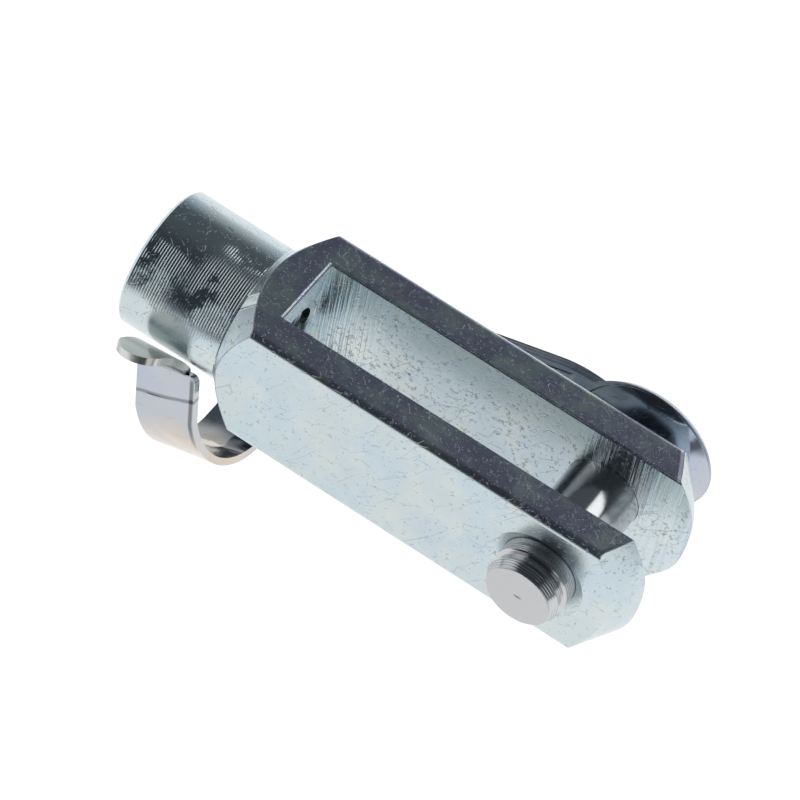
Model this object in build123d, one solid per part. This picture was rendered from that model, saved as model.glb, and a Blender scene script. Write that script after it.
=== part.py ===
from build123d import *
import math
import os

# Clevis rod end, size 10 x 40: forked head, clevis pin and swing-on spring clip.
#
# Lengths are millimetres. The origin lies on the pin axis, half-way between the
# ears. X is the rod axis, with the threaded neck towards -X. Y is the pin axis,
# with the pin's free end towards -Y and the clip's leaf towards +Y. Z points up
# through the open slot. "Reach" is a distance from the pin axis along X.

# Fork head
fork_width = 20.0            # square bar, across the flats
bar_edge_radius = 1.0        # rounding of the bar's four long edges
neck_reach = 61.0            # to the free end of the neck
neck_diameter = 18.4
neck_end_chamfer = 0.4
neck_root_radius = 0.4       # fillet between neck and shoulder cone
shoulder_length = 5.0        # from the slot's floor to where the shoulder cone runs out at mid-flat
shoulder_angle = 49.0        # half-angle of the shoulder cone, degrees
ear_reach = 12.05            # to the flat tips of the ears
ear_cone_reach = 9.65        # to where the end cone runs out at mid-flat
ear_cone_angle = 38.2        # of the end cone, off the end face, degrees
ear_end_radius = 8.0         # blend between end face and end cone
slot_width = 10.6
slot_reach = 41.0            # to the slot's floor, at the flats
slot_cutter_radius = 62.0    # the disc cutter leaves a hollow floor
slot_edge_break = 0.15
thread_drill = 8.5           # tapping drill for M10 x 1.5
thread_mouth = 10.6          # diameter of the countersink at the neck's end
bore_countersink_angle = 90.0
pin_countersink_diameter = 12.9
pin_countersink_depth = 0.8

# Clevis pin
pin_diameter = 10.0
pin_hole_clearance = 0.05    # radial, in both ears
pin_tip_reach = 14.1         # from mid-slot to the free end face
pin_tip_radius = 4.35        # of the free end face
pin_ring_reach = 12.9        # from mid-slot to the crest behind the end taper
pin_ring_radius = 4.9
pin_groove_start = 11.2      # from mid-slot to the groove's inner wall
pin_groove_width = 1.1
pin_groove_radius = 4.45
pin_edge_radius = 0.15
rivet_neck_radius = 3.0      # spigot through the clip
rivet_clearance = 0.02
rivet_head_radius = 4.6
rivet_crown_radius = 2.8     # flat top of the rivet's head
rivet_head_height = 1.1

# Spring clip, drawn closed, with its hook round the neck
clip_thickness = 1.0
clip_swing = 18.1            # how far the clip hangs open below the neck, degrees
leaf_standoff = 4.55         # from the ear's face to the leaf beside the pin
leaf_half_width = 9.1
leaf_start_reach = 3.0       # to the leaf's end under the head's dish
leaf_shoulder_reach = 11.0   # to where the leaf starts to draw in towards the head
leaf_shoulder_radius = 28.0
leaf_flat_reach = 22.0       # to where the leaf bends in and starts to narrow
leaf_tail_height = 5.5       # of the leaf's upper edge over the hook
leaf_root_drop = 2.0         # of the leaf's lower edge where it meets the hook
leaf_side_gap = 0.5          # between leaf and fork where the shoulder begins
leaf_tail_gap = 2.0          # from where the leaf runs flat beside the fork to the shoulder's start
leaf_bend_radius = 1.5
leaf_lead = 4.0              # past the pin, where the drawing of the leaf's form starts
leaf_stations = 13           # cross-sections that the leaf's form is drawn through
head_radius = 9.7            # rim of the dished head
head_seat_radius = 5.2       # flat seat for the pin's shoulder
head_depth = 2.6             # of the seat under the rim
head_bend_run = 1.0          # from the seat to where the rim's slope would meet it
hook_shoulder_gap = 2.3      # from the shoulder's start to the hook's near edge
hook_width = 8.6
hook_clearance = 0.25        # between the closed hook's far side and the neck
hook_near_gap = 0.55         # between neck and hook at the crease of the free arm
hook_bottom_gap = 0.1        # between neck and hook at the hook's lowest inner face
hook_far_radius = 6.0        # bend from the hook's bottom to the leaf
hook_flat = 1.8              # straight bottom between that bend and the one to the free arm
arm_straight = 0.7           # of the free arm, between its bend and its crease
crease_radius = 2.0
arm_lean = 17.7              # inward lean of the free arm above its crease, degrees
arm_rise = 6.4               # from the crease up to the arm's top
arm_corner_radius = 1.0
lip_fold_rise = 7.05         # from the crease up to the fold between arm and lip
lip_bend_radius = 1.2
lip_half_width = 3.0         # half the tongue-shaped lip's width, and the radius of its end
lip_root_length = 1.6        # straight stretches on both sides of the fold
lip_root_slope = 60.0        # slope of the lip past the fold, degrees
lip_end_slope = 25.0         # slope of the lip's end, degrees
lip_curl_radius = 16.0
lip_skew = 8.0               # turn of the lip in the arm's plane, degrees

# Worked out from the sizes above
fork_half = fork_width / 2
neck_radius = neck_diameter / 2
pin_radius = pin_diameter / 2
slot_half = slot_width / 2
shoulder_reach = slot_reach + shoulder_length
leaf_tail_reach = shoulder_reach - leaf_tail_gap
hook_edge_reach = shoulder_reach + hook_shoulder_gap
past = 1.0                   # how far cutting tools run out into the open


def turned_outline():
    """The solid that the lathe leaves: neck, shoulder cone and rounded ear end."""
    corner_radius = fork_half * math.sqrt(2) + past
    shoulder_slope = math.tan(math.radians(shoulder_angle))
    cone_slope = math.tan(math.radians(ear_cone_angle))
    neck_root = -shoulder_reach - (fork_half - neck_radius) / shoulder_slope
    shoulder_top = -shoulder_reach + (corner_radius - fork_half) / shoulder_slope
    cone_top = ear_cone_reach - (corner_radius - fork_half) * cone_slope
    face_edge = fork_half - (ear_reach - ear_cone_reach) / cone_slope
    half_section = make_face(Polyline(
        (-neck_reach, 0),
        (-neck_reach, neck_radius),
        (neck_root, neck_radius),
        (shoulder_top, corner_radius),
        (cone_top, corner_radius),
        (ear_reach, face_edge),
        (ear_reach, 0),
        close=True,
    ))
    end_corner = half_section.vertices().sort_by_distance((ear_reach, face_edge))[0]
    half_section = fillet(end_corner, ear_end_radius)
    root_corner = half_section.vertices().sort_by_distance((neck_root, neck_radius))[0]
    half_section = fillet(root_corner, neck_root_radius)
    neck_corner = half_section.vertices().sort_by_distance((-neck_reach, neck_radius))[0]
    half_section = chamfer(neck_corner, neck_end_chamfer)
    return revolve(half_section, Axis.X)


def square_bar():
    """The drawn bar that the head is made from."""
    section = Plane.YZ.offset(-neck_reach) * RectangleRounded(fork_width, fork_width, bar_edge_radius)
    return extrude(section, neck_reach + ear_reach)


def slot_cut():
    """The disc cutter between the ears."""
    centre = -slot_reach + math.sqrt(slot_cutter_radius**2 - fork_half**2)
    return Pos(centre, 0, 0) * Rot(90, 0, 0) * Cylinder(slot_cutter_radius, slot_width)


def pin_hole_cut():
    """Both pin holes, countersunk on the ears' outer faces."""
    hole_radius = pin_radius + pin_hole_clearance
    countersink_radius = pin_countersink_diameter / 2
    section = make_face(Polyline(
        (0, -fork_half - past),
        (countersink_radius, -fork_half - past),
        (countersink_radius, -fork_half),
        (hole_radius, -fork_half + pin_countersink_depth),
        (hole_radius, fork_half - pin_countersink_depth),
        (countersink_radius, fork_half),
        (countersink_radius, fork_half + past),
        (0, fork_half + past),
        close=True,
    ))
    return revolve(section, Axis.Y)


def thread_bore_cut():
    """The tapped bore from the neck's end into the slot, at its drilled size."""
    drill_radius = thread_drill / 2
    mouth_radius = thread_mouth / 2
    mouth_depth = (mouth_radius - drill_radius) / math.tan(math.radians(bore_countersink_angle / 2))
    section = make_face(Polyline(
        (-neck_reach - past, 0),
        (-neck_reach - past, mouth_radius),
        (-neck_reach, mouth_radius),
        (-neck_reach + mouth_depth, drill_radius),
        (-slot_reach + past, drill_radius),
        (-slot_reach + past, 0),
        close=True,
    ))
    return revolve(section, Axis.X)


def make_fork_head():
    """Forked head, one piece."""
    blank = square_bar() & turned_outline()
    slotted = blank - slot_cut()
    wall_edges = [
        edge
        for wall in slotted.faces().filter_by(Axis.Y)
        if abs(abs(wall.center().Y) - slot_half) < 0.01
        for edge in wall.edges()
        if edge.center().X > -slot_reach + slot_edge_break
    ]
    floor_edges = [
        edge
        for edge in slotted.edges().filter_by(Axis.Y)
        if abs(edge.center().X + slot_reach) < 0.01
    ]
    eased = chamfer(wall_edges + floor_edges, slot_edge_break)
    return eased - pin_hole_cut() - thread_bore_cut()


def make_clevis_pin():
    """Turned pin: grooved free end, and a riveted spigot that holds the clip."""
    seat = head_seat_level()
    groove_end = pin_groove_start + pin_groove_width
    half_section = make_face(Polyline(
        (0, -pin_tip_reach),
        (pin_tip_radius, -pin_tip_reach),
        (pin_ring_radius, -pin_ring_reach),
        (pin_groove_radius, -groove_end),
        (pin_groove_radius, -pin_groove_start - (pin_radius - pin_groove_radius) / 2),
        (pin_radius, -pin_groove_start),
        (pin_radius, seat),
        (rivet_neck_radius, seat),
        (rivet_neck_radius, seat + clip_thickness),
        (rivet_head_radius, seat + clip_thickness),
        (rivet_crown_radius, seat + clip_thickness + rivet_head_height),
        (0, seat + clip_thickness + rivet_head_height),
        close=True,
    ))
    tip_corner = half_section.vertices().sort_by_distance((pin_tip_radius, -pin_tip_reach))[0]
    half_section = fillet(tip_corner, pin_edge_radius)
    return revolve(half_section, Axis.Y)


def leaf_level():
    """Y of the leaf's inner face beside the pin."""
    return fork_half + leaf_standoff


def head_seat_level():
    """Y of the dished head's inner face where the pin's shoulder seats."""
    return leaf_level() - head_depth


def pressed_wall(dip, level, depth):
    """Wall of the hollow, from the flat seat up to the rim, set back by depth from the pressed face."""
    slope = math.atan2(dip, head_radius - head_seat_radius - head_bend_run)
    floor = level - dip + depth
    corner = head_seat_radius + head_bend_run - depth * math.tan(slope / 2)
    rim = (head_radius, level + depth / math.cos(slope))
    return Bezier((head_seat_radius, floor), (corner, floor), rim)


def head_hollow(depth):
    """Half-round end of the hollow, beyond the pin."""
    wall = pressed_wall(head_depth, leaf_level(), depth)
    open_level = leaf_level() + head_radius
    back = Polyline(wall @ 1, (head_radius, open_level), (0, open_level), (0, (wall @ 0).Y), wall @ 0)
    return Rot(0, -90, 0) * revolve(make_face(wall + back), Axis.Y, 180)


def leaf_edge_level(reach):
    """Y of the leaf's edges on their inner face, at this distance from the pin."""
    travel = max(0, (reach - leaf_flat_reach) / (leaf_tail_reach - leaf_flat_reach))
    fall = leaf_level() - fork_half - leaf_side_gap
    return leaf_level() - fall * travel**2 * (3 - 2 * travel)


def leaf_section(reach, depth):
    """Cross-section of the hollow at this distance from the pin: as deep as the head's, then fading."""
    fade = max(0, (reach - head_seat_radius) / (leaf_tail_reach - head_seat_radius))
    dip = head_depth * (1 - fade**2)
    wall = pressed_wall(dip, leaf_edge_level(reach), depth)
    other_wall = mirror(wall, about=Plane.YZ)
    seat = Line(other_wall @ 0, wall @ 0)
    open_level = leaf_level() + head_radius
    back = Polyline(wall @ 1, (head_radius, open_level), (-head_radius, open_level), other_wall @ 1)
    across = Plane(origin=(-reach, 0, 0), x_dir=(0, 0, 1), z_dir=(-1, 0, 0))
    return across * make_face(wall + seat + other_wall + back)


def pressed_hollow(depth):
    """Everything behind the clip's pressed face, set back from that face by depth."""
    spacing = (leaf_tail_reach + leaf_lead) / (leaf_stations - 1)
    sections = [leaf_section(station * spacing - leaf_lead, depth) for station in range(leaf_stations)]
    trough = split(loft(sections), bisect_by=Plane.YZ, keep=Keep.BOTTOM)
    return trough + head_hollow(depth)


def head_disc():
    """Round blank of the head, its rim cut square to the sheet."""
    slope = math.atan2(head_depth, head_radius - head_seat_radius - head_bend_run)
    across = Vector(-math.sin(slope), math.cos(slope)) * head_radius / 2
    rim = Vector(head_radius, leaf_level())
    low = rim - across
    high = rim + across
    return revolve(make_face(Polyline(low, high, (0, high.Y), (0, low.Y), close=True)), Axis.Y)


def leaf_outline():
    """The leaf's flat shape, seen along the pin."""
    hook_end = -hook_edge_reach - hook_width
    shoulder_run = leaf_shoulder_reach - leaf_start_reach
    shoulder_fall = leaf_shoulder_radius - math.sqrt(leaf_shoulder_radius**2 - shoulder_run**2)
    start_height = leaf_half_width - shoulder_fall
    upper_shoulder = RadiusArc(
        (-leaf_shoulder_reach, leaf_half_width),
        (-leaf_start_reach, start_height),
        leaf_shoulder_radius,
    )
    lower_shoulder = RadiusArc(
        (-leaf_start_reach, -start_height),
        (-leaf_shoulder_reach, -leaf_half_width),
        leaf_shoulder_radius,
    )
    tail = Polyline(
        (-leaf_shoulder_reach, -leaf_half_width),
        (-leaf_flat_reach, -leaf_half_width),
        (-hook_edge_reach, -leaf_root_drop),
        (-hook_edge_reach, 0),
        (hook_end, 0),
        (hook_end, leaf_tail_height),
        (-hook_edge_reach, leaf_tail_height),
        (-leaf_flat_reach, leaf_half_width),
        (-leaf_shoulder_reach, leaf_half_width),
    )
    start = Line((-leaf_start_reach, start_height), (-leaf_start_reach, -start_height))
    outline = make_face(upper_shoulder + start + lower_shoulder + tail)
    top_corner = outline.vertices().sort_by_distance((hook_end, leaf_tail_height))[0]
    return fillet(top_corner, leaf_tail_height / 2)


def hook_far_level():
    """Y of the hook's inner face on the leaf's side of the neck."""
    return neck_radius + hook_clearance


def pressed_leaf():
    """Head and leaf: a round dish that runs out along the leaf, which ends flat beside the neck."""
    half_thick = clip_thickness / 2
    tail_level = leaf_edge_level(leaf_tail_reach) + half_thick
    middle = FilletPolyline(
        (-leaf_tail_reach, tail_level),
        (-shoulder_reach + leaf_side_gap, tail_level),
        (-hook_edge_reach + 2 * leaf_side_gap, hook_far_level() + half_thick),
        (-hook_edge_reach - hook_width, hook_far_level() + half_thick),
        radius=leaf_bend_radius,
    )
    tail = extrude(trace(middle, clip_thickness), leaf_half_width, both=True)
    outline = extrude(Plane.XZ * leaf_outline(), 2 * fork_width, both=True)
    pressed = pressed_hollow(0) - pressed_hollow(clip_thickness)
    return (pressed & head_disc()) + (pressed & outline) + (tail & outline)


def hook():
    """C-shaped band that snaps round the neck, with its creased free arm and flared lip."""
    half_thick = clip_thickness / 2
    far = hook_far_level() + half_thick
    near = -neck_radius - hook_near_gap - half_thick
    bottom = -neck_radius - hook_bottom_gap - half_thick
    near_radius = far - near - hook_flat - hook_far_radius
    crease = Vector(near, bottom + near_radius + arm_straight)
    arm = Vector(math.tan(math.radians(arm_lean)), 1)
    curl = FilletPolyline(
        (far, 0),
        (far, bottom),
        (near, bottom),
        crease,
        crease + arm * arm_rise,
        radius=[hook_far_radius, near_radius, crease_radius],
    )
    hook_end = Plane.YZ.offset(-hook_edge_reach - hook_width)
    band = extrude(hook_end * trace(curl, clip_thickness), hook_width)
    arm_end = band.faces().sort_by(Axis.Z)[-1]
    band = fillet(arm_end.edges().filter_by(Axis.X, reverse=True), arm_corner_radius)
    return band + lip(crease + arm * lip_fold_rise, arm)


def lip(fold, arm):
    """Tongue with a round end that folds out from the hook's arm and flattens in an arc."""
    start = fold - arm * lip_root_length
    flare = fold + Vector(-lip_root_length, 0).rotate(Axis.Z, -lip_root_slope)
    root = FilletPolyline(start, fold, flare, radius=lip_bend_radius)
    turn = lip_root_slope - lip_end_slope
    curl = JernArc(root @ 1, root % 1, lip_curl_radius, turn)
    tongue_middle = -hook_edge_reach - hook_width / 2
    middle_plane = Plane.YZ.offset(tongue_middle)
    sheet = extrude(middle_plane * trace(root + curl, clip_thickness), lip_half_width, both=True)
    end_way = curl % 1
    end_plane = Plane(
        origin=(tongue_middle, (curl @ 1).X, (curl @ 1).Y),
        x_dir=(1, 0, 0),
        z_dir=(0, end_way.Y, -end_way.X),
    )
    length = 2 * hook_width
    outline = Pos(0, lip_half_width) * Circle(lip_half_width)
    outline += Pos(0, lip_half_width + length / 2) * Rectangle(2 * lip_half_width, length)
    tongue = sheet & extrude(end_plane * outline, length, both=True)
    fold_axis = Axis((tongue_middle, fold.X, fold.Y), (0, arm.Y, -arm.X))
    return tongue.rotate(fold_axis, lip_skew)


def make_spring_clip():
    """Spring clip, swung open below the neck about the pin."""
    rivet_hole = Rot(90, 0, 0) * Cylinder(rivet_neck_radius + rivet_clearance, 4 * fork_width)
    closed = pressed_leaf() + hook() - rivet_hole
    return Rot(0, -clip_swing, 0) * closed


os.makedirs("parts", exist_ok=True)
export_step(make_fork_head(), "parts/fork_head.step")
export_step(make_clevis_pin(), "parts/clevis_pin.step")
export_step(make_spring_clip(), "parts/spring_clip.step")
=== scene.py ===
"""Looks of a clevis rod end: zinc-plated fork head, clevis pin and spring clip."""

import logging
import math
from dataclasses import dataclass
from enum import Enum
from typing import Any

import bpy
from mathutils import Matrix, Vector


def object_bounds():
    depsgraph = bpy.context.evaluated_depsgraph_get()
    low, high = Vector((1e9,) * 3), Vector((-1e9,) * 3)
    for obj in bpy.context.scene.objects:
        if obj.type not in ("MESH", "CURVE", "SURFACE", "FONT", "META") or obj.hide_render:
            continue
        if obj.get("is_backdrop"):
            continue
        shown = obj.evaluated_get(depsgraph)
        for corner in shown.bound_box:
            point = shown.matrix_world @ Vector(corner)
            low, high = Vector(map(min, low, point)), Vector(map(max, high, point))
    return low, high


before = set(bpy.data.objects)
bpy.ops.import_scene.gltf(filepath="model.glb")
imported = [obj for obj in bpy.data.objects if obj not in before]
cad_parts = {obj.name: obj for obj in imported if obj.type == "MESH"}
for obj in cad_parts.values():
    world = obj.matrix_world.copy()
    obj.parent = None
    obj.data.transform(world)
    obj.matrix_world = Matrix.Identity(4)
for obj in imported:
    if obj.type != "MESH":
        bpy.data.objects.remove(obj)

log = logging.getLogger("clevis")
Triple = tuple[float, float, float]
Colour = Triple
WHITE: Colour = (1.0, 1.0, 1.0)
MM = 0.001


class Signal:
    """A shader socket that Python expressions can be written on."""

    def __init__(self, graph: "Graph", socket: bpy.types.NodeSocket) -> None:
        """Wraps a socket.

        Args:
            graph: The graph that the socket belongs to.
            socket: An output socket of one of its nodes.
        """
        self.graph = graph
        self.socket = socket

    def _math(self, operation: str, *values: Any) -> "Signal":
        """Adds a Math node.

        Args:
            operation: The Math node's operation.
            values: Its inputs in order, signals or numbers.

        Returns:
            The node's result.
        """
        return self.graph.add("ShaderNodeMath", {"operation": operation}, dict(enumerate(values)))

    def __add__(self, other: Any) -> "Signal":
        """Sum."""
        return self._math("ADD", self, other)

    def __radd__(self, other: Any) -> "Signal":
        """Sum, reflected."""
        return self._math("ADD", other, self)

    def __sub__(self, other: Any) -> "Signal":
        """Difference."""
        return self._math("SUBTRACT", self, other)

    def __rsub__(self, other: Any) -> "Signal":
        """Difference, reflected."""
        return self._math("SUBTRACT", other, self)

    def __mul__(self, other: Any) -> "Signal":
        """Product."""
        return self._math("MULTIPLY", self, other)

    def __rmul__(self, other: Any) -> "Signal":
        """Product, reflected."""
        return self._math("MULTIPLY", other, self)

    def __truediv__(self, other: Any) -> "Signal":
        """Quotient."""
        return self._math("DIVIDE", self, other)

    def __abs__(self) -> "Signal":
        """Absolute value."""
        return self._math("ABSOLUTE", self)

    def sine(self) -> "Signal":
        """Sine of an angle in radians."""
        return self._math("SINE", self)

    def root(self) -> "Signal":
        """Square root."""
        return self._math("SQRT", self)

    def at_least(self, other: Any) -> "Signal":
        """The larger of two values."""
        return self._math("MAXIMUM", self, other)

    def at_most(self, other: Any) -> "Signal":
        """The smaller of two values."""
        return self._math("MINIMUM", self, other)

    def remainder(self) -> "Signal":
        """The part of a value past the whole number below it."""
        return self._math("FRACT", self)

    def turn_from(self, other: "Signal") -> "Signal":
        """Angle in radians of a point from the other value's axis, with this value across it."""
        return self._math("ARCTAN2", self, other)

    def step(self, low: float, high: float) -> "Signal":
        """Smooth step from 0 to 1.

        Args:
            low: Value where the step starts. It may be the larger of the two.
            high: Value where the step ends.

        Returns:
            0 before low, 1 past high, or the other way round if low is the larger.
        """
        ends = (0.0, 1.0) if low < high else (1.0, 0.0)
        return self.graph.add(
            "ShaderNodeMapRange",
            {"interpolation_type": "SMOOTHSTEP"},
            {0: self, 1: min(low, high), 2: max(low, high), 3: ends[0], 4: ends[1]},
        )


class Graph:
    """The node tree of one material or of the world."""

    def __init__(self, tree: bpy.types.NodeTree) -> None:
        """Empties the tree.

        Args:
            tree: The node tree to fill.
        """
        self.tree = tree
        self.tree.nodes.clear()

    def add(self, kind: str, settings: dict[str, Any] | None = None, inputs: dict[Any, Any] | None = None,
            output: int | str = 0) -> Signal:
        """Adds one node.

        Args:
            kind: The node's type.
            settings: Properties that are set first, such as a Math node's operation.
            inputs: Sockets by number or name, with the values or signals they take.
            output: The socket that is wanted back.

        Returns:
            The wanted output.
        """
        node = self.tree.nodes.new(kind)
        for name, value in (settings or {}).items():
            setattr(node, name, value)
        for name, value in (inputs or {}).items():
            if isinstance(value, Signal):
                self.tree.links.new(value.socket, node.inputs[name])
            else:
                node.inputs[name].default_value = value
        found = node.outputs[output] if len(node.outputs) else None
        return Signal(self, found)

    def mix(self, factor: Any, first: Any, second: Any) -> Signal:
        """Mixes two colours.

        Args:
            factor: 0 gives the first, 1 the second.
            first: Colour or signal.
            second: Colour or signal.

        Returns:
            The mixed colour.
        """
        pair = [c if isinstance(c, Signal) else (*c, 1.0) for c in (first, second)]
        return self.add(
            "ShaderNodeMix",
            {"data_type": "RGBA", "blend_type": "MIX"},
            {0: factor, 6: pair[0], 7: pair[1]},
            2,
        )

    def place(self) -> Signal:
        """The object's own coordinates, in metres."""
        return self.add("ShaderNodeTexCoord", output="Object")

    def axes(self) -> tuple[Signal, Signal, Signal]:
        """The object's own X, Y and Z in millimetres."""
        split = self.add("ShaderNodeSeparateXYZ", inputs={0: self.place()}).socket.node
        return tuple(Signal(self, out) * (1 / MM) for out in split.outputs)

    def scaled(self, factors: Triple) -> Signal:
        """The object's coordinates, stretched.

        Args:
            factors: Cells per millimetre along each axis.

        Returns:
            A vector for a texture of scale 1.
        """
        grown = tuple(f / MM for f in factors)
        return self.add("ShaderNodeVectorMath", {"operation": "MULTIPLY"}, {0: self.place(), 1: grown})

    def noise(self, vector: Signal, detail: float, rough: float) -> Signal:
        """Soft noise about 0.5.

        Args:
            vector: Where it is read, one cell per unit.
            detail: Octaves.
            rough: Strength of the fine octaves.

        Returns:
            A value from 0 to 1.
        """
        inputs = {"Vector": vector, "Scale": 1.0, "Detail": detail, "Roughness": rough}
        return self.add("ShaderNodeTexNoise", inputs=inputs)

    def mottle(self, per_mm: float, detail: float, rough: float) -> Signal:
        """Soft noise that is the same in every direction.

        Args:
            per_mm: Blotches per millimetre.
            detail: Octaves.
            rough: Strength of the fine octaves.

        Returns:
            A value from 0 to 1, about 0.5.
        """
        return self.noise(self.scaled((per_mm,) * 3), detail, rough)

    def streaks(self, distance: Signal, per_mm: float, drift: Signal | float = 0.0) -> Signal:
        """Noise along one line, as a cutter's marks have.

        Args:
            distance: The line's coordinate in millimetres.
            per_mm: Marks per millimetre.
            drift: Slow change along the marks.

        Returns:
            A value from 0 to 1.
        """
        vector = self.add("ShaderNodeCombineXYZ", inputs={0: distance * per_mm, 1: drift})
        return self.noise(vector, 2.0, 0.6)

    def cell(self, feature: str, vector: Signal, output: str = "Distance") -> Signal:
        """Irregular cells.

        Args:
            feature: The Voronoi feature.
            vector: Where it is read, one cell per unit.
            output: The output that is wanted.

        Returns:
            That output.
        """
        inputs = {"Vector": vector, "Scale": 1.0, "Randomness": 1.0}
        return self.add("ShaderNodeTexVoronoi", {"feature": feature}, inputs, output)

    def spots(self, per_mm: float, size: float, fill: float) -> Signal:
        """Scattered round spots.

        Args:
            per_mm: Cells per millimetre.
            size: Radius of a spot, in cells.
            fill: Share of the cells that have one.

        Returns:
            1 in a spot's middle, 0 outside.
        """
        vector = self.scaled((per_mm,) * 3)
        chance = self.add("ShaderNodeSeparateXYZ", inputs={0: self.cell("F1", vector, "Color")})
        return self.cell("F1", vector).step(size, size * 0.3) * chance.step(fill, fill * 0.8)

    def cracks(self, per_mm: float, width: float) -> Signal:
        """A net of thin, crooked lines.

        Args:
            per_mm: Cells per millimetre.
            width: Half a line's width, in cells.

        Returns:
            1 in a line's middle, 0 outside.
        """
        vector = self.scaled((per_mm,) * 3)
        inputs = {"Vector": vector, "Scale": 1.7, "Detail": 2.0}
        warp = self.add("ShaderNodeTexNoise", inputs=inputs, output="Color")
        bent = self.add(
            "ShaderNodeVectorMath",
            {"operation": "MULTIPLY_ADD"},
            {0: warp, 1: (0.9, 0.9, 0.9), 2: vector},
        )
        return self.cell("DISTANCE_TO_EDGE", bent).step(width, width * 0.2)

    def hairs(self, turn: Triple, per_mm: float, stretch: float, width: float) -> Signal:
        """Fine, nearly straight scratches along one direction.

        Args:
            turn: Turn of that direction about X, Y and Z, in radians.
            per_mm: Cells per millimetre across the scratches.
            stretch: How many times longer than wide a cell is.
            width: Half a scratch's width, in cells.

        Returns:
            1 in a scratch's middle, 0 outside.
        """
        turned = self.add(
            "ShaderNodeVectorRotate",
            {"rotation_type": "EULER_XYZ"},
            {"Vector": self.place(), "Rotation": turn},
        )
        across = per_mm / MM
        factors = (across / stretch, across, across)
        long = self.add("ShaderNodeVectorMath", {"operation": "MULTIPLY"}, {0: turned, 1: factors})
        some = self.noise(long, 1.0, 0.5).step(0.59, 0.64)
        return self.cell("DISTANCE_TO_EDGE", long).step(width, width * 0.2) * some


class Shine(Enum):
    """How glossy a plated surface is, as its shader's roughness."""

    SATIN = 0.25
    TURNED = 0.15
    GLOSSY = 0.09


@dataclass(frozen=True)
class Plating:
    """Bright zinc plating on steel.

    Args:
        name: The material's name.
        colour: Colour of the plating.
        shine: How glossy it is.
    """

    name: str
    colour: Colour
    shine: Shine

    def start(self) -> tuple[bpy.types.Material, Graph]:
        """Makes an empty material.

        Returns:
            The material and its graph.
        """
        material = bpy.data.materials.new(self.name)
        material.use_nodes = True
        return material, Graph(material.node_tree)

    def shaded(self, graph: Graph, tint: Signal | Colour, shade: Signal, darkest: float) -> Signal:
        """Darkens a colour.

        Args:
            graph: The material's graph.
            tint: The colour where the shade is 1 or more.
            shade: How light it is. 0 or less is the darkest.
            darkest: The plating's colour there, as a share of itself.

        Returns:
            The darkened colour.
        """
        dark = tuple(channel * darkest for channel in self.colour)
        return graph.mix(shade.at_least(0.0).at_most(1.0), dark, tint)

    def close(self, graph: Graph, colour: Signal, rough: Signal, height: Signal,
              metal: float | Signal = 1.0) -> None:
        """Adds the shader and the output.

        Args:
            graph: The material's graph.
            colour: Colour over the surface.
            rough: Roughness over the surface.
            height: Height over the surface, in millimetres.
            metal: How metallic the surface is.
        """
        relief = graph.add("ShaderNodeBump", inputs={"Strength": 1.0, "Distance": MM, "Height": height})
        shader = graph.add(
            "ShaderNodeBsdfPrincipled",
            inputs={"Base Color": colour, "Metallic": metal, "Roughness": rough, "Normal": relief},
        )
        graph.add("ShaderNodeOutputMaterial", inputs={"Surface": shader})


@dataclass(frozen=True)
class ForkZones:
    """Places on the fork, and masks that are 1 on one kind of surface and 0 elsewhere.

    Args:
        x: Place along the rod's axis, in millimetres.
        y: Place along the pin's axis, in millimetres.
        z: Height over the axis, in millimetres.
        rise: Distance from the rod's axis past half the bar's width.
        neck: The turned neck.
        shoulder: The cone between neck and bar.
        top: The bar's top and bottom faces.
        wall: The slot's walls and floor.
        milled: The parts of the slot where the cutter's marks are deep.
        inside: The tapped bore.
    """

    x: Signal
    y: Signal
    z: Signal
    rise: Signal
    neck: Signal
    shoulder: Signal
    top: Signal
    wall: Signal
    milled: Signal
    inside: Signal


@dataclass(frozen=True)
class ForkWear:
    """Patterns of the fork's plating, tool marks and wear, each from 0 to 1.

    Args:
        drift: Wide, faint blotches.
        patch: Blotches of a few millimetres.
        grain: The plating's grain.
        speckle: Its finest speckle.
        pits: Scattered round pits.
        nicks: Denser nicks on the top faces.
        cracks: Nets of hair cracks.
        hairs: Long, fine scratches.
        cut: Marks of the slot's cutter.
        lathe: Rings that the lathe left on the neck.
    """

    drift: Signal
    patch: Signal
    grain: Signal
    speckle: Signal
    pits: Signal
    nicks: Signal
    cracks: Signal
    hairs: Signal
    cut: Signal
    lathe: Signal


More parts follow.
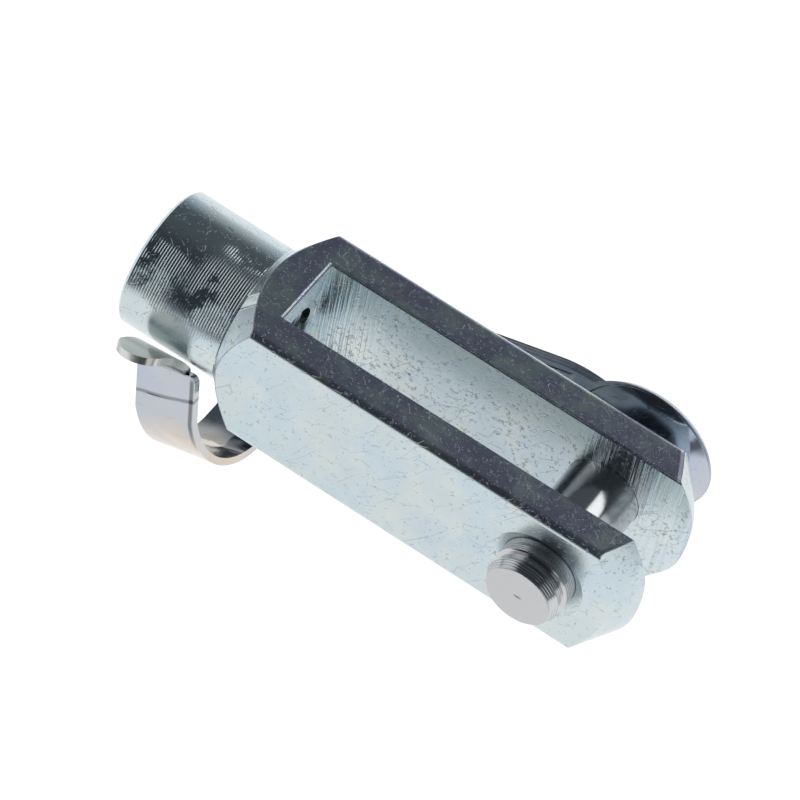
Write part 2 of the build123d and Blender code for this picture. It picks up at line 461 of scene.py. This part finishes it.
@dataclass(frozen=True)
class ForkPlating(Plating):
    """Plating of the machined fork head, with its cutters' marks. Lengths are in millimetres.

    Args:
        cool: Colour of its bluish patches.
        warm: Colour of its greenish patches.
        top_reflection_tint: Darker, purplish colour painted in patches on the top faces, a painted reflection
            of the dim bluish room.
        darkest: Its darkest shade, as a share of its colour.
        half: Half the bar's width.
        slot_half: Half the slot's width.
        floor: X of the slot's floor.
        neck_end: X of the neck's free end.
        neck_root: X where the neck meets the shoulder.
        shoulder: X where the shoulder cone runs out at mid-flat, and its slope.
        cone: X where the end cone runs out at mid-flat, and its slope.
        border: Where a zone starts to fade past its border, and where it is whole.
        bore: Radius of the tapped bore.
        pitch: Pitch of the bore's thread.
        thread_height: Half the height of that thread.
        feed: Pitch of the turned ribs on the neck.
        rib_height: Height of those ribs.
        rib_gap: Share of a rib's flank that is missing, so that flat lands stay between the ribs.
        cut_height: Height of the marks that the slot's cutter left.
        speckle_height: Height of the speckle on the top faces.
        nick_depth: Depth of the nicks there.
        edge: Width of the broken edge at the slot's floor, and its slope.
        tip: Width of the worn edge at the ears' tips, and its slope.
        side_slope: Slope that the shoulder cone's sides are worn to.
    """

    cool: Colour = (0.60, 0.70, 0.75)
    warm: Colour = (0.68, 0.73, 0.70)
    top_reflection_tint: Colour = (0.58, 0.57, 0.72)
    darkest: float = 0.2
    half: float = 10.0
    slot_half: float = 5.3
    floor: float = -41.0
    neck_end: float = -61.0
    neck_root: float = -46.7
    shoulder: tuple[float, float] = (-46.0, 0.869)
    cone: tuple[float, float] = (9.65, 0.787)
    border: tuple[float, float] = (0.12, 0.04)
    bore: float = 4.25
    pitch: float = 1.5
    thread_height: float = 0.16
    feed: float = 0.36
    rib_height: float = 0.09
    rib_gap: float = 0.4
    cut_height: float = 0.14
    speckle_height: float = 0.036
    nick_depth: float = 0.045
    edge: tuple[float, float] = (0.4, 0.385)
    tip: tuple[float, float] = (0.55, 0.7)
    side_slope: float = 0.35

    def zones(self, g: Graph) -> ForkZones:
        """Finds the fork's surfaces by their place.

        Args:
            g: The material's graph.

        Returns:
            The zones.
        """
        x, y, z = g.axes()
        outer, inner = self.border
        radius = (y * y + z * z).root()
        rise = radius - self.half
        neck = x.step(self.neck_root + 0.1, self.neck_root - 0.1)
        end_cone = (x + rise * self.cone[1]).step(self.cone[0] - outer, self.cone[0] - inner)
        shoulder = (x - rise * self.shoulder[1]).step(self.shoulder[0] + outer, self.shoulder[0] + inner)
        flat = 1 - end_cone.at_least(shoulder).at_least(neck)
        top = abs(z).step(self.half - 0.5, self.half - 0.1) * flat
        wall = abs(y).step(self.slot_half + outer, self.slot_half + inner) * flat * (1 - top)
        near_floor = x.step(self.floor + 13.0, self.floor + 4.0)
        near_pin = x.step(-4.5, -1.0)
        return ForkZones(
            x, y, z, rise, neck, shoulder, top, wall,
            milled=wall * near_floor.at_least(near_pin),
            inside=radius.step(self.bore + 1.2, self.bore + 0.9) * x.step(self.floor - 0.6, self.floor - 0.8),
        )

    def wear(self, g: Graph, zones: ForkZones) -> ForkWear:
        """Draws the patterns of plating, tool marks and wear.

        Args:
            g: The material's graph.
            zones: The fork's surfaces.

        Returns:
            The patterns.
        """
        patch = g.mottle(per_mm=0.24, detail=4.0, rough=0.6)
        some = g.mottle(per_mm=1.3, detail=2.0, rough=0.6)
        cracks = g.cracks(per_mm=2.0, width=0.07) * some.step(0.60, 0.65)
        in_slot = some.step(0.53, 0.60) * zones.wall * patch.step(0.40, 0.52)
        cracks = cracks + g.cracks(per_mm=2.8, width=0.09) * in_slot
        hairs = g.hairs(turn=(0.5, 0.3, 0.6), per_mm=0.9, stretch=5.0, width=0.035)
        hairs = hairs + g.hairs(turn=(-0.6, 0.9, -0.5), per_mm=0.8, stretch=6.0, width=0.03)
        return ForkWear(
            drift=g.mottle(per_mm=0.09, detail=2.0, rough=0.5),
            patch=patch,
            grain=g.mottle(per_mm=2.6, detail=3.0, rough=0.6),
            speckle=g.mottle(per_mm=4.6, detail=2.0, rough=0.7),
            pits=g.spots(per_mm=1.1, size=0.16, fill=0.16),
            nicks=g.spots(per_mm=2.6, size=0.26, fill=0.4) * zones.top,
            cracks=cracks,
            hairs=hairs,
            cut=g.streaks(zones.x + zones.z * 0.04, per_mm=2.0, drift=zones.z * 0.06),
            lathe=g.streaks(zones.x, per_mm=3.2),
        )

    def ribs(self, zones: ForkZones, wear: ForkWear) -> Signal:
        """Turned ribs on the neck, near its root and near its free end.

        Args:
            zones: The fork's surfaces.
            wear: Its patterns. The ribs are worn away in patches.

        Returns:
            0 between the ribs and in the worn patches, up to 1 less the gap on a rib.
        """
        x, y, z = zones.x, zones.y, zones.z
        turn = (x / self.feed + 1000.0).remainder()
        rib = ((turn * 2).at_most(2 - turn * 2) - self.rib_gap).at_least(0.0)
        near_root = x.step(self.neck_root - 9.0, self.neck_root - 4.0)
        near_end = x.step(self.neck_end + 8.0, self.neck_end + 4.0) * y.step(-3.0, -5.0)
        facing = y.step(2.0, -1.0) * z.step(1.5, 4.5)
        return zones.neck * (near_root + near_end) * wear.patch.step(0.30, 0.50) * facing * rib

    def tint(self, g: Graph, zones: ForkZones, wear: ForkWear) -> Signal:
        """Colours the plating, with painted shade in the slot and in the bore and a painted reflection tint on
        the top faces.

        Args:
            g: The material's graph.
            zones: The fork's surfaces.
            wear: Its patterns.

        Returns:
            The colour over the surface.
        """
        tint = g.mix(wear.drift.step(0.42, 0.58), self.colour, self.cool)
        tint = g.mix(wear.patch.step(0.50, 0.66) * 0.7, tint, self.warm)
        # painted reflection: the top faces take a darker, purplish tint in patches, as if they reflected a dim
        # bluish room
        tint = g.mix(zones.top * wear.patch.step(0.62, 0.42), tint, self.top_reflection_tint)
        below_top = 1 - zones.top
        shade = 0.945 + (wear.patch - 0.5) * 0.16 - wear.pits * 0.3
        shade = shade - wear.cracks * 0.35 * below_top - wear.hairs * 0.2 * below_top
        # painted shade: the slot's walls and floor are darkened by 0.22 where the cutter's marks are not deep
        shade = shade - (zones.wall - zones.milled) * 0.22 + zones.milled * (wear.cut - 0.5) * 0.6
        shade = shade + zones.top * (wear.speckle - 0.5) * 0.5
        # painted shade: the tapped bore is darkened by 0.25
        shade = shade + zones.neck * (wear.lathe - 0.5) * 0.12 - zones.inside * 0.25
        return self.shaded(g, tint, shade, self.darkest)

    def relief(self, zones: ForkZones, wear: ForkWear) -> Signal:
        """Raises and sinks the marks.

        Args:
            zones: The fork's surfaces.
            wear: Its patterns.

        Returns:
            Height over the surface, in millimetres.
        """
        x, y, z, top, neck = zones.x, zones.y, zones.z, zones.top, zones.neck
        relief = wear.grain * 0.004 - wear.pits * 0.02 - wear.cracks * 0.02 - wear.hairs * 0.014
        relief = relief + top * wear.speckle * self.speckle_height - wear.nicks * self.nick_depth
        relief = relief + neck * (wear.speckle * 0.008 + wear.lathe * 0.006)
        relief = relief + zones.milled * wear.cut * self.cut_height + self.ribs(zones, wear) * self.rib_height

        width, slope = self.tip
        past_tip = (x + zones.rise * self.cone[1] - self.cone[0] + width).at_least(0.0) * slope
        width, slope = self.edge
        past_floor = (x - self.floor + width).at_least(0.0).at_most(width) * slope
        past_floor = past_floor * abs(y).step(self.slot_half + 0.1, self.slot_half)
        side = zones.shoulder * (1 - neck) * (1 - top) * y.step(-4.0, -6.0) * z * self.side_slope
        turns = (x * (2 * math.pi / self.pitch) + y.turn_from(z)).sine()
        return relief - top * (past_tip + past_floor) - side + zones.inside * turns * self.thread_height

    def build(self) -> bpy.types.Material:
        """Builds the material.

        Returns:
            The fork head's material.
        """
        material, g = self.start()
        zones = self.zones(g)
        wear = self.wear(g, zones)
        rough = self.shine.value + (wear.grain - 0.5) * 0.10 - zones.neck * 0.04
        rough = rough + zones.top * ((wear.patch - 0.5) * 0.3 + 0.03)
        self.close(g, self.tint(g, zones, wear), rough, self.relief(zones, wear))
        return material


@dataclass(frozen=True)
class PinPlating(Plating):
    """Plating of the turned pin. Lengths are in millimetres.

    Args:
        darkest: Its darkest shade, as a share of its colour.
        tip: Y of the pin's free end.
        ringed: Y where the turned rings towards that end start, and where they are whole.
        feed: Pitch of those rings.
        ring_height: Their height.
        dash_depth: Depth of the small dash in the middle of the end.
    """

    darkest: float = 0.25
    tip: float = -14.1
    ringed: tuple[float, float] = (-9.5, -10.5)
    feed: float = 0.3
    ring_height: float = 0.034
    dash_depth: float = 0.05

    def build(self) -> bpy.types.Material:
        """Builds the material.

        Returns:
            The pin's material.
        """
        material, g = self.start()
        x, y, z = g.axes()
        end = y.step(self.tip + 0.2, self.tip + 0.05)
        rings = (y * (2 * math.pi / self.feed)).sine() * 0.5 + 0.5
        ringed = y.step(*self.ringed) * (1 - end)
        lathe = g.streaks(y, per_mm=3.0)
        faced = g.streaks((x * x + z * z).root(), per_mm=2.4)
        grain = g.mottle(per_mm=2.2, detail=3.0, rough=0.6)
        dash = (x * x * 0.35 + z * z * 6.0).root().step(0.45, 0.15) * end
        shade = 0.95 + (grain - 0.5) * 0.14 + (lathe - 0.5) * 0.08 - dash * 0.7 + end * (faced - 0.5) * 0.06
        rough = self.shine.value + (grain - 0.5) * 0.08 + end * 0.18
        relief = grain * 0.003 + (1 - end) * lathe * 0.004 + ringed * rings * self.ring_height
        relief = relief + end * faced * 0.003 - dash * self.dash_depth
        self.close(g, self.shaded(g, self.colour, shade, self.darkest), rough, relief)
        return material


@dataclass(frozen=True)
class ClipZones:
    """Places on the clip, and masks that are 1 on one part of it and 0 elsewhere.

    Args:
        along: Place along the clip, 0 at the pin, in millimetres.
        height: Place across the clip, in millimetres.
        arm: The hook's free arm.
        lip: The lip past the arm.
        low: The hook's bottom, which is tinted warm as a painted reflection of the floor.
        sheared: The sheared edges of leaf and head.
        leaf_painted_shade: Painted shade on leaf and head, inside the sheet's edges, standing for the dark
            reflection of the fork's shaded ear.
    """

    along: Signal
    height: Signal
    arm: Signal
    lip: Signal
    low: Signal
    sheared: Signal
    leaf_painted_shade: Signal


@dataclass(frozen=True)
class ClipPlating(Plating):
    """Glossy plating of the pressed clip, with faint passivation tints and with painted light and shade.
    Lengths are in millimetres.

    Args:
        warm: Tint where the plating is thickest, in random bands, and a painted reflection of the floor on the
            hook's bottom.
        cool: Tint along the leaf.
        lip_painted_light: Lighter, warm grey colour of the duller lip, partly painted light that stands in for
            light falling on the lip.
        darkest: Its darkest shade, as a share of its colour.
        swing: How far the clip hangs open, in degrees.
        crease: Height of the free arm's crease at its outer end.
        crease_rise: How much that crease rises per unit towards the pin.
        hook: Both edges of the hook along the clip.
        edge: Height of the leaf's sheared upper edge.
        narrow: Place along the clip where that edge starts to fall.
        taper: How much it falls per unit from there.
        rim: Radii between which the head's sheared rim starts.
        fold: Height of the fold between arm and lip.
        lip_slope: Slope that the lip is worn to.
        wave_height: Height of the sheet's soft waves.
        shear_height: Height of the shear's lines on the sheet's edges.
    """

    warm: Colour = (0.70, 0.58, 0.46)
    cool: Colour = (0.47, 0.51, 0.62)
    lip_painted_light: Colour = (0.80, 0.80, 0.76)
    darkest: float = 0.15
    swing: float = 18.1
    crease: float = 5.5
    crease_rise: float = 0.109
    hook: tuple[float, float] = (-56.9, -48.3)
    edge: float = 9.1
    narrow: float = -22.0
    taper: float = 0.137
    rim: tuple[float, float] = (9.4, 9.6)
    fold: float = 9.8
    lip_slope: float = 0.36
    wave_height: float = 0.5
    shear_height: float = 0.12

    def zones(self, x: Signal, y: Signal, z: Signal) -> ClipZones:
        """Finds the clip's parts by their place.

        Args:
            x: Place along the rod's axis.
            y: Place along the pin's axis.
            z: Height over the axis.

        Returns:
            The zones.
        """
        lean = math.radians(self.swing)
        along = x * math.cos(lean) + z * math.sin(lean)
        height = z * math.cos(lean) - x * math.sin(lean)
        leaf_side = y.step(9.6, 10.0)
        edge = self.edge - (self.narrow - along).at_least(0.0) * self.taper
        edges = (height - edge).step(-0.6, -0.4) * leaf_side * along.step(-7.0, -9.0)
        rim = (along * along + height * height).root().step(*self.rim) * leaf_side * along.step(-9.0, -8.0)
        return ClipZones(
            along,
            height,
            arm=y.step(-7.2, -8.0) * height.step(self.fold, self.fold - 0.8),
            lip=y.step(-6.8, -7.4) * height.step(self.fold - 0.2, self.fold + 0.6),
            low=height.step(3.0, -5.0) * y.step(4.0, -4.0),
            sheared=edges.at_least(rim),
            leaf_painted_shade=y.step(9.8, 10.4) * along.step(6.5, 4.5) * along.step(-30.0, -26.0),
        )

    def build(self) -> bpy.types.Material:
        """Builds the material.

        Returns:
            The clip's material.
        """
        material, g = self.start()
        x, y, z = g.axes()
        zones = self.zones(x, y, z)
        drift = g.mottle(per_mm=0.09, detail=2.0, rough=0.5)
        bands = g.mottle(per_mm=0.16, detail=1.0, rough=0.5)
        grain = g.noise(g.scaled((0.7, 3.5, 3.5)), detail=3.0, rough=0.6)
        dust = g.spots(per_mm=1.3, size=0.12, fill=0.12)
        hairs = g.hairs(turn=(0.2, 0.5, 0.1), per_mm=1.2, stretch=7.0, width=0.03)
        lines = g.streaks(y, per_mm=2.4)
        line = self.crease + (zones.along - self.hook[0]) * self.crease_rise + (bands - 0.5) * 1.2
        # painted shade: the crease line along the arm, darkened in the colour below
        crease = abs(zones.height - line).step(0.36, 0.0) * zones.arm
        # painted shade: a dark band on the arm beside the hook's edge, where the sheet bends
        beside_edge = abs(zones.along - self.hook[1] + 0.45).step(0.40, 0.15)
        bend_painted_shade = beside_edge * zones.arm * zones.height.step(-3.0, 3.0)

        tint = g.mix(drift.step(0.42, 0.68), self.colour, self.cool)
        # painted light: the lip takes a lighter, less metallic colour, standing in for light that falls on it
        tint = g.mix(zones.lip, tint, self.lip_painted_light)
        # painted reflection: the hook's bottom is tinted warm as if it reflected the floor; random bands add
        # the warm passivation tint elsewhere
        tint = g.mix((zones.low * 0.7 + bands.step(0.58, 0.78) * 0.4).at_most(1.0), tint, self.warm)
        # painted shade: the crease is darkened by 0.6 and the band beside the hook's edge by 0.7; dust, hairs
        # and grain are the plating's own marks
        shade = 0.98 + (grain - 0.5) * 0.05 - dust * 0.3 - hairs * 0.15 - crease * 0.6 - bend_painted_shade * 0.7
        # painted shade: leaf and head are darkened by 0.35, half as much on the sheared edges, whose shear
        # lines vary the tone
        shade = shade + zones.sheared * (lines - 0.45) * 1.4 - (zones.leaf_painted_shade - zones.sheared * 0.5) * 0.35
        rough = self.shine.value + (grain - 0.5) * 0.05 + dust * 0.15 + zones.sheared * 0.25 + zones.lip * 0.12
        relief = grain * 0.0015 - dust * 0.01 - hairs * 0.006 - crease * 0.04
        relief = relief + zones.sheared * lines * self.shear_height + bands * self.wave_height
        relief = relief + zones.lip * (x - self.hook[0]) * self.lip_slope
        self.close(g, self.shaded(g, tint, shade, self.darkest), rough, relief, 1 - zones.lip * 0.25)
        return material


@dataclass
class CadPiece:
    """A piece whose shape comes ready-made and is given its finish here.

    Args:
        node: The piece's name.
        finish: Its plating.
    """

    node: str
    finish: ForkPlating | PinPlating | ClipPlating

    def dress(self) -> None:
        """Puts the finish on the piece."""
        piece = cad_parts[self.node]
        piece.data.materials.clear()
        piece.data.materials.append(self.finish.build())
        log.info("%s: finished as %s, %d faces", self.node, self.finish.name, len(piece.data.polygons))


@dataclass
class ForkHead(CadPiece):
    """The forked head."""

    node: str = "fork_head"
    finish: ForkPlating = ForkPlating("bluish_zinc_on_machined_bar", (0.635, 0.71, 0.72), Shine.SATIN)


@dataclass
class ClevisPin(CadPiece):
    """The turned pin."""

    node: str = "clevis_pin"
    finish: PinPlating = PinPlating("zinc_on_turned_pin", (0.60, 0.60, 0.61), Shine.TURNED)


@dataclass
class SpringClip(CadPiece):
    """The bent spring clip."""

    node: str = "spring_clip"
    finish: ClipPlating = ClipPlating("glossy_zinc_on_spring_steel", (0.52, 0.55, 0.59), Shine.GLOSSY)


@dataclass
class Studio:
    """White table in a dim room, with white cards and a soft lamp behind the object. Lengths are in metres.

    Args:
        floor_size: Side of the floor.
        floor_gap: Distance from the lowest point down to the floor.
        pale: Colour of the floor.
        table_edge: Y where the lit part of the floor ends towards the front.
        table_fade: Half the distance over which it fades there.
        room: Colour of the room where it is dim.
        lamp_way: Direction of the lamp.
        lamp_reach: How far away the lamp hangs.
        lamp_side: Side of the lamp's face.
        lamp_power: Power of the lamp, in watts.
        cards: Soft white cards: direction, half-angle in degrees and level.
        floor_white: How white the floor is to the camera, before the lamp adds to it.
        floor_gleam: How bright the floor's lit part is in the metal.
        far_level: Brightness of the pale far side in the metal.
        room_level: Brightness of the room in front, and how much it gains towards the back.
    """

    floor_size: float = 6.0
    floor_gap: float = 0.0005
    pale: Colour = (0.90, 0.90, 0.90)
    table_edge: float = -0.13
    table_fade: float = 0.07
    room: Colour = (0.84, 1.0, 1.13)
    lamp_way: Triple = (0.37, 0.60, 0.72)
    lamp_reach: float = 0.7
    lamp_side: float = 0.30
    lamp_power: float = 0.42
    cards: tuple[tuple[Triple, float, float], ...] = (
        ((0.75, 0.59, 0.29), 16.0, 0.8),
        ((-0.88, -0.22, 0.35), 34.0, 0.85),
        ((0.67, -0.74, 0.09), 26.0, 0.8),
    )
    floor_white: float = 0.92
    floor_gleam: float = 0.86
    far_level: float = 0.80
    room_level: tuple[float, float] = (0.04, 0.06)

    def lay_floor(self, level: float) -> None:
        """Lays the floor.

        Args:
            level: Z of the object's lowest point.
        """
        bpy.ops.object.select_all(action="DESELECT")
        bpy.ops.mesh.primitive_plane_add(size=self.floor_size, location=(0, 0, level - self.floor_gap))
        floor = bpy.context.object
        floor.name = "studio_floor"
        material = bpy.data.materials.new("pale_floor")
        material.use_nodes = True
        g = Graph(material.node_tree)
        camera = g.add("ShaderNodeLightPath", output="Is Camera Ray")
        glossy = g.add("ShaderNodeLightPath", output="Is Glossy Ray")
        lit = (g.axes()[1] * MM).step(self.table_edge - self.table_fade, self.table_edge + self.table_fade)
        matt = g.add("ShaderNodeBsdfDiffuse", inputs={"Color": (*self.pale, 1.0)})
        strength = camera * self.floor_white + glossy * (lit * self.floor_gleam)
        glow = g.add("ShaderNodeEmission", inputs={"Color": (*WHITE, 1.0), "Strength": strength})
        both = g.add("ShaderNodeAddShader", inputs={0: matt, 1: glow})
        g.add("ShaderNodeOutputMaterial", inputs={"Surface": both})
        floor.data.materials.append(material)
        floor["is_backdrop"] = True

    def surround(self) -> None:
        """Sets the world: a pale far side that fades upwards, a dim room, and white to the camera."""
        world = bpy.data.worlds.new("studio")
        bpy.context.scene.world = world
        world.use_nodes = True
        g = Graph(world.node_tree)
        way = g.add("ShaderNodeTexCoord", output="Generated")
        split = g.add("ShaderNodeSeparateXYZ", inputs={0: way}).socket.node
        back, height = (Signal(g, split.outputs[i]) for i in (1, 2))
        camera = g.add("ShaderNodeLightPath", output="Is Camera Ray")
        front, gain = self.room_level
        dim = back.step(-0.3, 0.4) * gain + front
        white = (height - back * 0.45).step(0.42, -0.65) * self.far_level
        for card, half_angle, strength in self.cards:
            facing = g.add(
                "ShaderNodeVectorMath",
                {"operation": "DOT_PRODUCT"},
                {0: way, 1: tuple(Vector(card).normalized())},
                "Value",
            )
            outer = math.cos(math.radians(half_angle))
            inner = math.cos(math.radians(half_angle * 0.6))
            white = white.at_least(facing.step(outer, inner) * strength)
        colour = g.mix(white, self.room, WHITE)
        colour = g.mix(camera, colour, WHITE)
        level = white.at_least(dim).at_least(camera)
        shine = g.add("ShaderNodeBackground", inputs={"Color": colour, "Strength": level})
        g.add("ShaderNodeOutputWorld", inputs={"Surface": shine})

    def hang_lamp(self) -> None:
        """Hangs the soft lamp, facing the object."""
        data = bpy.data.lights.new("soft_lamp", "AREA")
        data.shape = "SQUARE"
        data.size = self.lamp_side
        data.energy = self.lamp_power
        lamp = bpy.data.objects.new("soft_lamp", data)
        lamp.location = Vector(self.lamp_way).normalized() * self.lamp_reach
        lamp.rotation_euler = (-lamp.location).to_track_quat("-Z", "Y").to_euler()
        bpy.context.collection.objects.link(lamp)
        log.info("studio lit")


@dataclass
class Viewpoint:
    """The camera.

    Args:
        place: Where it stands, in metres.
        target: The point that it looks at, in metres.
        roll: Turn about the line of sight, in degrees.
        sensor: The sensor's width, in millimetres.
        focal: Focal length over the sensor's width.
        near: Nearest distance that it sees, in metres.
    """

    place: Triple = (0.08779, -0.30841, 0.42840)
    target: Triple = (-0.02635, 0.00086, 0.0)
    roll: float = 16.03
    sensor: float = 36.0
    focal: float = 5.625
    near: float = 0.01

    def set_up(self) -> None:
        """Makes the camera."""
        data = bpy.data.cameras.new("camera")
        data.sensor_width = self.sensor
        data.lens = self.focal * self.sensor
        data.clip_start = self.near
        camera = bpy.data.objects.new("camera", data)
        aim = (Vector(self.target) - Vector(self.place)).to_track_quat("-Z", "Y").to_matrix().to_4x4()
        turn = Matrix.Rotation(math.radians(self.roll), 4, "Z")
        camera.matrix_world = Matrix.Translation(self.place) @ aim @ turn
        bpy.context.collection.objects.link(camera)
        bpy.context.scene.camera = camera


def main() -> None:
    """Builds the scene in order."""
    logging.basicConfig(level=logging.INFO, format="%(name)s: %(message)s")
    before = [list(corner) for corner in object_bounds()]
    for piece in (ForkHead(), ClevisPin(), SpringClip()):
        piece.dress()
    studio = Studio()
    studio.surround()
    studio.lay_floor(before[0][2])
    studio.hang_lamp()
    Viewpoint().set_up()
    bpy.context.scene.view_settings.view_transform = "Standard"


if __name__ == "__main__":
    main()
